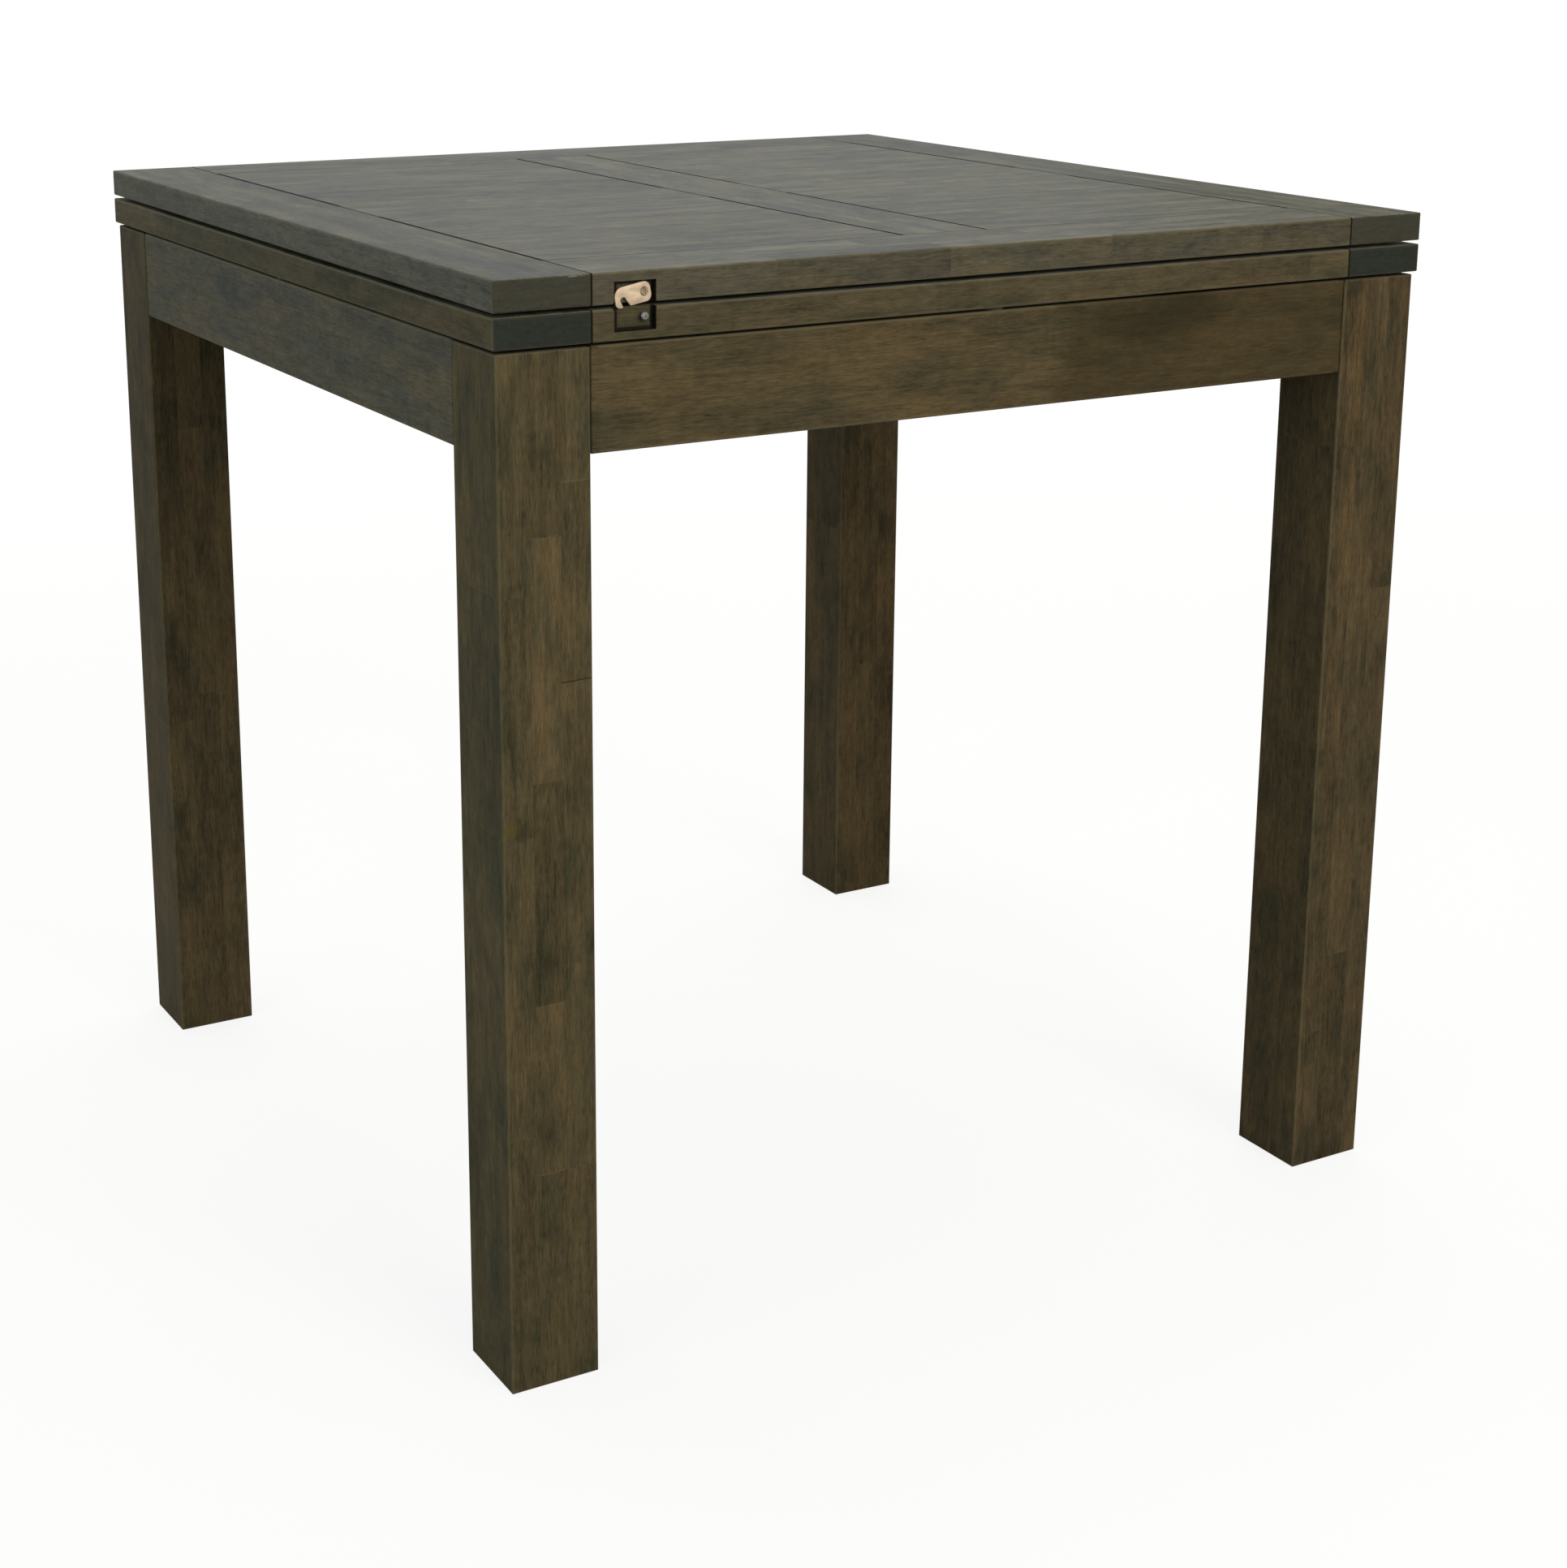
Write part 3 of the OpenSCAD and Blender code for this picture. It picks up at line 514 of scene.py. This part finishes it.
# The blocks of each stave have a tone, 0 dark to 1 pale, and a tint, how warm they are. Written tones are
# rows of heights where a block starts, with its tone. Others come by chance
def writtenTones(staveNo, a, blocks):
    tone = 0.5
    for number, steps in enumerate(blocks):
        here = (staveNo > number - 0.5) * (staveNo < number + 0.5)
        before = 0.5
        for height, level in steps:
            tone = tone + here * (a > height) * (level - before)
            before = level
    return tone, tone


# where each thing left to chance is drawn, apart from the others so that they don't agree
chances = {"slide": 0.5, "tone": 0.25, "tint": 7.5}


def chanceTones(finish, staveNo, a, block, shift):
    slide = finish.chance(staveNo, shift, chances["slide"])
    blockNo = ((a / block) + slide + shift).floor()
    tone = finish.chance(staveNo, blockNo, shift + chances["tone"])
    return tone, finish.chance(staveNo, blockNo, shift + chances["tint"])


def woodFinish(name, node, grain, across, look, seed, edges, stave=0.026, block=0.28, spread=0.3,
               topLook=None, blocks=None, marks=None):
    finish = newFinish(name)
    low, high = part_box(node)
    place = finish.place()
    facing = finish.facing()
    third = ({"x", "y", "z"} - {grain, across}).pop()
    a, b, c = (place[axes[axis]] for axis in (grain, across, third))
    settings = woodSettings

    # staves glued side by side
    shift = seed * settings["seedStep"]
    staveNo = ((b - low[axes[across]]) / stave).floor()
    if blocks:
        tone, tint = writtenTones(staveNo, a, blocks)
    else:
        tone, tint = chanceTones(finish, staveNo, a, block, shift)
    own = tone * settings["toneStep"] + staveNo * settings["staveStep"] + shift
    if grain == "z":
        tint = tint * (settings["legLeast"] + a.step(*settings["legTint"]) * settings["legGrowth"])

    def layer(name, start=own):
        return grainNoise(finish, (a, b, c), woodLayers[name], start)

    noises = {name: layer(name) for name in ["cloud", "streak", "patch", "fleck", "fibre"]}
    noises["blush"] = layer("blush", own + settings["blushStep"])
    noises["ripple"] = finish.noise((a, b, c), *settings["ripple"], start=(0, own, 0))
    cloud, fleck = noises["cloud"], noises["fleck"]
    pore = layer("pore").step(*settings["pore"])

    def coat(look):
        colour = finish.mix(cloud.step(*settings["middle"]), look["dark"], look["middle"])
        warmth = settings["leastWarm"] + tint * settings["tintWarm"]
        return finish.mix(noises["blush"].step(*settings["warm"]) * warmth, colour, look["warm"])

    colour = coat(look)
    # tops take their own look, greyer and paler: painted sheen
    if topLook:
        flat = abs(facing[2]).step(*settings["square"])
        colour = finish.mix(flat, colour, coat(topLook))
        added = (noises["streak"] - 0.5) * settings["topStreak"]
        added = added + (layer("sweep") - 0.5) * settings["topSweep"]
        noises["streak"] = noises["streak"] + added * flat
    streak = noises["streak"]
    level = 1 + (tone - 0.5) * spread
    for name, contrast in woodContrast.items():
        level = level + (noises[name] - 0.5) * contrast
    colour = finish.dim(colour, level - pore * settings["poreDark"])

    # end grain shows the rings
    endOn = abs(facing[axes[grain]]).step(*settings["square"])
    ring = finish.noise((a, b, c), *settings["ring"], start=(0, own, 0))
    grit = finish.noise((a, b, c), *settings["grit"])
    endLevel = settings["endLevel"] + ring * settings["ringShare"] + grit * settings["gritShare"]
    colour = finish.mix(endOn, colour, finish.dim(look["end"][:3], endLevel))

    # arrises pale, partly from rubbing and partly a painted highlight, then this board's own marks (the
    # pocket's painted shade among them), then joints dark, which on the aprons is painted shade by the legs
    edge, joint = edges(place, low, high, cloud)
    paleEdge = (edge - fleck * settings["ragged"] + settings["wearIn"]).step(*settings["wearWidth"])
    colour = finish.mix(paleEdge * look["wear"] * (1 - endOn * settings["endArrisOff"]), colour, look["worn"])
    for mask, markColour in (marks(finish, place) if marks else []):
        colour = finish.mix(mask, colour, markColour)
    height = streak * woodRelief["streak"] + fleck * woodRelief["fleck"] - pore * woodRelief["pore"]
    roughness = look["roughness"] + (cloud - 0.5) * woodDull["cloud"] + (fleck - 0.5) * woodDull["fleck"]
    roughness = roughness + (streak - 0.5) * woodDull["streak"] + endOn * woodDull["end"]
    if joint is not None:
        # dark joints on the leaves; on the aprons the same mask lays painted shade by the legs
        colour = finish.mix(joint * settings["jointAndShadeDark"], colour, look["line"])
        height = height - joint * woodRelief["joint"]
        roughness = roughness + joint * woodDull["joint"]
    return finish.surface({"Base Color": colour, "Roughness": roughness,
                           "Specular IOR Level": settings["specular"]},
                          bump=height, strength=settings["bump"], depth=settings["bumpDepth"])


nearLegBlocks = [
    [(0.0, 0.5), (0.22, 0.65), (0.47, 0.5), (0.66, 0.7)],
    [(0.0, 0.55), (0.186, 0.75), (0.33, 0.0), (0.512, 1.0), (0.704, 0.3)],
    [(0.0, 0.6), (0.186, 0.85), (0.36, 0.7), (0.59, 0.6), (0.745, 0.95)],
]
legs = {
    "leg_front_left": {"look": stain, "blocks": nearLegBlocks, "marks": nearLegMarks},
    "leg_front_right": {"look": redStain},
    "leg_rear_left": {"look": redStain},
    "leg_rear_right": {"look": rearLegStainAndShade},
}
for legNo, (leg, plan) in enumerate(legs.items()):
    dress(leg, woodFinish("stained " + leg, leg, "z", "x", seed=1 + legNo, edges=legEdges, **plan))

# an apron is one board, so its only stave is wider and its only block longer than it is
aprons = {
    "apron_front": {"grain": "x", "look": apronStain, "marks": frontApronMarks},
    "apron_rear": {"grain": "x", "look": apronStain},
    "apron_left": {"grain": "y", "look": sideApronStainAndSheen},
    "apron_right": {"grain": "y", "look": sideApronStainAndSheen},
}
for apronNo, (apron, plan) in enumerate(aprons.items()):
    dress(apron, woodFinish("stained " + apron, apron, across="z", seed=5 + apronNo, edges=apronEdges,
                            stave=0.1, block=1.0, spread=0.05, **plan))

# for each board: the ways along and across its grain, the width of its staves, the length of their blocks
boards = {
    "breadboard_left": ("y", "x", 0.041, 0.6),
    "breadboard_right": ("y", "x", 0.041, 0.6),
    "rail_front": ("x", "y", 0.041, 0.16),
    "rail_rear": ("x", "y", 0.041, 0.16),
    "stile": ("y", "x", 0.042, 0.5),
    "mid_rail_left": ("x", "y", 0.045, 0.5),
    "mid_rail_right": ("x", "y", 0.045, 0.5),
    "panel_front_left": ("x", "y", 0.10767, 1.0),
    "panel_front_right": ("x", "y", 0.10767, 1.0),
    "panel_rear_left": ("x", "y", 0.10767, 1.0),
    "panel_rear_right": ("x", "y", 0.10767, 1.0),
}
boardMarks = {
    "lower_rail_front": pocketShade,
    "upper_rail_front": pocketShade,
    "upper_breadboard_left": scuffMarks,
}
# each leaf: its first seed, the look of its edges, and that of its end boards' edges
leaves = {"lower_": (11, lowStain, lowStain), "upper_": (31, upperEdgeStainAndSheen, endSideStainAndSheen)}
for leaf, (firstSeed, edgeLook, endEdgeLook) in leaves.items():
    for boardNo, (board, (grain, across, stave, block)) in enumerate(boards.items()):
        endBoard = board.startswith("breadboard")
        made = woodFinish("stained " + leaf + board, leaf + board, grain, across,
                          endEdgeLook if endBoard else edgeLook, firstSeed + boardNo, leafEdges,
                          stave=stave, block=block, spread=0.2 if board.startswith("rail") else 0.1,
                          topLook=boardTopStainAndSheen if endBoard else topStainAndSheen, marks=boardMarks.get(leaf + board))
        dress(leaf + board, made)
print("wood stained")


# The frame's hidden wood is bare

bareWood = {
    "pale": paint(206, 182, 143), "deep": paint(178, 147, 106), "end": paint(168, 138, 98),
    "band": (4, 60, 3, 0.5, 0.7), "streak": (12, 420, 3, 0.65, 0), "pore": (90, 1600, 1, 0.5, 0),
    "bandLevels": (0.3, 0.7), "poreLevels": (0.6, 0.72), "endShare": 0.7,
    "streakShare": 0.3, "poreShare": 0.18, "roughness": 0.6, "streakRoughness": 0.2,
    "streakHeight": 0.6, "poreHeight": 0.5, "bump": 0.3, "bumpDepth": 0.0003,
}


def bareFinish(name, grain):
    finish = newFinish(name)
    place = finish.place()
    facing = finish.facing()
    ways = [place[axes[grain]]] + [place[n] for n in range(3) if n != axes[grain]]
    band = grainNoise(finish, ways, bareWood["band"]).step(*bareWood["bandLevels"])
    streak = grainNoise(finish, ways, bareWood["streak"])
    pore = grainNoise(finish, ways, bareWood["pore"]).step(*bareWood["poreLevels"])
    colour = finish.mix(band, bareWood["deep"], bareWood["pale"])
    endOn = abs(facing[axes[grain]]).step(*woodSettings["square"])
    colour = finish.mix(endOn * bareWood["endShare"], colour, bareWood["end"])
    colour = finish.dim(colour, 1 + (streak - 0.5) * bareWood["streakShare"] - pore * bareWood["poreShare"])
    roughness = bareWood["roughness"] + (streak - 0.5) * bareWood["streakRoughness"]
    height = streak * bareWood["streakHeight"] - pore * bareWood["poreHeight"]
    return finish.surface({"Base Color": colour, "Roughness": roughness},
                          bump=height, strength=bareWood["bump"], depth=bareWood["bumpDepth"])


bareNodes = {"apron_dowels": "x", "corner_blocks": "x", "swivel_rail": "y", "rail_cleats": "x"}
for node, grain in bareNodes.items():
    dress(node, bareFinish("bare " + node, grain))
print("bare wood done")


# Metal: bright zinc on the fixings, a paler cream zinc on the latch

metals = {
    "bright zinc": {"colour": paint(186, 189, 193), "dull": paint(150, 152, 156),
                    "roughness": 0.34, "metallic": 1.0},
    "latch zinc": {"colour": paint(226, 203, 174), "dull": paint(206, 181, 151),
                   "roughness": 0.42, "metallic": 0.25},
    "latch screw": {"colour": paint(178, 158, 132), "dull": paint(120, 102, 80),
                    "roughness": 0.45, "metallic": 0.3},
    "latch stud": {"colour": paint(160, 160, 158), "dull": paint(118, 116, 112),
                   "roughness": 0.4, "metallic": 0.7},
}
# noises of the dull clouds, the rubbing and the specks, and what each does to colour, roughness and height
metalGrain = {
    "cloud": ((130, 130, 130), 3), "rub": ((300, 300, 2600), 2, 0.6), "speck": ((2200, 2200, 2200), 2),
    "cloudLevels": (0.35, 0.65), "leastLevel": 0.9, "rubLevel": 0.2,
    "cloudRoughness": 0.3, "speckRoughness": 0.2,
    "rubHeight": 0.4, "speckHeight": 0.6, "bump": 0.15, "bumpDepth": 0.0001,
}
# the threads' pitch in metres, their height, what they leave of the other bumps, and the painted shade in
# their grooves
threads = {"pitch": 0.00125, "height": 8.0, "left": 0.3, "leastLevel": 0.55, "level": 0.9}


def metalFinish(name, look, threaded=False):
    finish = newFinish(name)
    place = finish.place()
    grain = metalGrain
    cloud, rub, speck = (finish.noise(place, *grain[part]) for part in ["cloud", "rub", "speck"])
    colour = finish.mix(cloud.step(*grain["cloudLevels"]), look["dull"], look["colour"])
    colour = finish.dim(colour, grain["leastLevel"] + rub * grain["rubLevel"])
    roughness = look["roughness"] + (cloud - 0.5) * grain["cloudRoughness"]
    roughness = roughness + (speck - 0.5) * grain["speckRoughness"]
    height = rub * grain["rubHeight"] + speck * grain["speckHeight"]
    if threaded:
        # the bolts point at the table's middle, so their threads count along the diagonals
        turn = ((abs(place[0]) + abs(place[1])) * math.sqrt(0.5) / threads["pitch"]).fract()
        height = height * threads["left"] + abs(turn - 0.5) * threads["height"]
        # painted shade: the colour darkens towards the bottom of each groove
        colour = finish.dim(colour, threads["leastLevel"] + abs(turn - 0.5) * threads["level"])
    return finish.surface({"Base Color": colour, "Roughness": roughness, "Metallic": look["metallic"]},
                          bump=height, strength=grain["bump"], depth=grain["bumpDepth"])


bright = metalFinish("bright zinc", metals["bright zinc"])
dress("hanger_bolts", metalFinish("threaded zinc", metals["bright zinc"], threaded=True))
for node in ["hanger_washers", "hanger_nuts", "cleat_screws", "stop_pin", "pivot_plate",
             "pivot_plate_screws", "pivot_washer", "pivot_lock_nut", "hinge_plates_lower",
             "hinge_plates_upper", "hinge_pins", "hinge_screws_lower", "hinge_screws_upper"]:
    dress(node, bright)

# The hook is pressed from sheet, so its rims are rounded: a copy of the plain one, welded and bevelled.
# Distances are in metres and angles in degrees
hookSettings = {"weld": 0.00001, "flat": 1, "rim": 0.00045, "steps": 3, "sharp": 40, "smooth": 30}

bpy.ops.object.select_all(action="DESELECT")
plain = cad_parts["latch_hook"]
hook = plain.copy()
hook.data = plain.data.copy()
hook.name = "latchHookPressed"
bpy.context.collection.objects.link(hook)
bpy.context.view_layer.objects.active = hook
hook.select_set(True)
bpy.ops.object.mode_set(mode="EDIT")
bpy.ops.mesh.select_all(action="SELECT")
bpy.ops.mesh.remove_doubles(threshold=hookSettings["weld"])
bpy.ops.mesh.dissolve_limited(angle_limit=math.radians(hookSettings["flat"]))
bpy.ops.object.mode_set(mode="OBJECT")
bevel = hook.modifiers.new("rim", "BEVEL")
bevel.width = hookSettings["rim"]
bevel.segments = hookSettings["steps"]
bevel.limit_method = "ANGLE"
bevel.angle_limit = math.radians(hookSettings["sharp"])
bpy.ops.object.modifier_apply(modifier="rim")
bpy.ops.object.shade_smooth_by_angle(angle=math.radians(hookSettings["smooth"]))
hook.data.materials.clear()
hook.data.materials.append(metalFinish("latch zinc", metals["latch zinc"]))
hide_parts("latch_hook")
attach(hook, "latch_hook")
print("latch hook bevelled")

dress("catch_stud", metalFinish("latch stud", metals["latch stud"]))
latchScrew = metalFinish("latch screw", metals["latch screw"])
for node in ["hook_screw", "hook_washer"]:
    dress(node, latchScrew)
print("metal done")


# Nylon sleeve and felt

nylonLook = {"colour": paint(226, 223, 212), "deep": paint(212, 208, 196), "roughness": 0.38,
             "swirl": ((220, 220, 220), 2, 0.5, 0.6), "turned": ((60, 60, 2400), 1),
             "swirlRoughness": 0.1, "bump": 0.2, "bumpDepth": 0.0001}
feltLook = {"colour": paint(74, 68, 60), "deep": paint(48, 44, 39), "roughness": 0.95, "sheen": 0.35,
            "tuft": ((900, 900, 900), 3, 0.7, 1.2), "hair": ((3600, 3600, 3600), 2, 0.5, 2.0),
            "tuftShare": 0.6, "hairShare": 0.4, "levels": (0.35, 0.62), "hairRoughness": 0.04,
            "hairHeight": 0.5, "bump": 0.6, "bumpDepth": 0.0005}

finish = newFinish("nylon")
place = finish.place()
swirl = finish.noise(place, *nylonLook["swirl"])
turned = finish.noise(place, *nylonLook["turned"])
colour = finish.mix(swirl, nylonLook["deep"], nylonLook["colour"])
roughness = nylonLook["roughness"] + swirl * nylonLook["swirlRoughness"]
dress("pivot_sleeve", finish.surface({"Base Color": colour, "Roughness": roughness}, bump=turned,
                                     strength=nylonLook["bump"], depth=nylonLook["bumpDepth"]))

finish = newFinish("felt")
place = finish.place()
tuft = finish.noise(place, *feltLook["tuft"])
hair = finish.noise(place, *feltLook["hair"])
fuzz = (tuft * feltLook["tuftShare"] + hair * feltLook["hairShare"]).step(*feltLook["levels"])
colour = finish.mix(fuzz, feltLook["deep"], feltLook["colour"])
roughness = feltLook["roughness"] + hair * feltLook["hairRoughness"]
felt = finish.surface({"Base Color": colour, "Roughness": roughness, "Sheen Weight": feltLook["sheen"]},
                      bump=tuft + hair * feltLook["hairHeight"], strength=feltLook["bump"],
                      depth=feltLook["bumpDepth"])
for node in ["felt_glides", "felt_dots"]:
    dress(node, felt)
print("nylon and felt done")
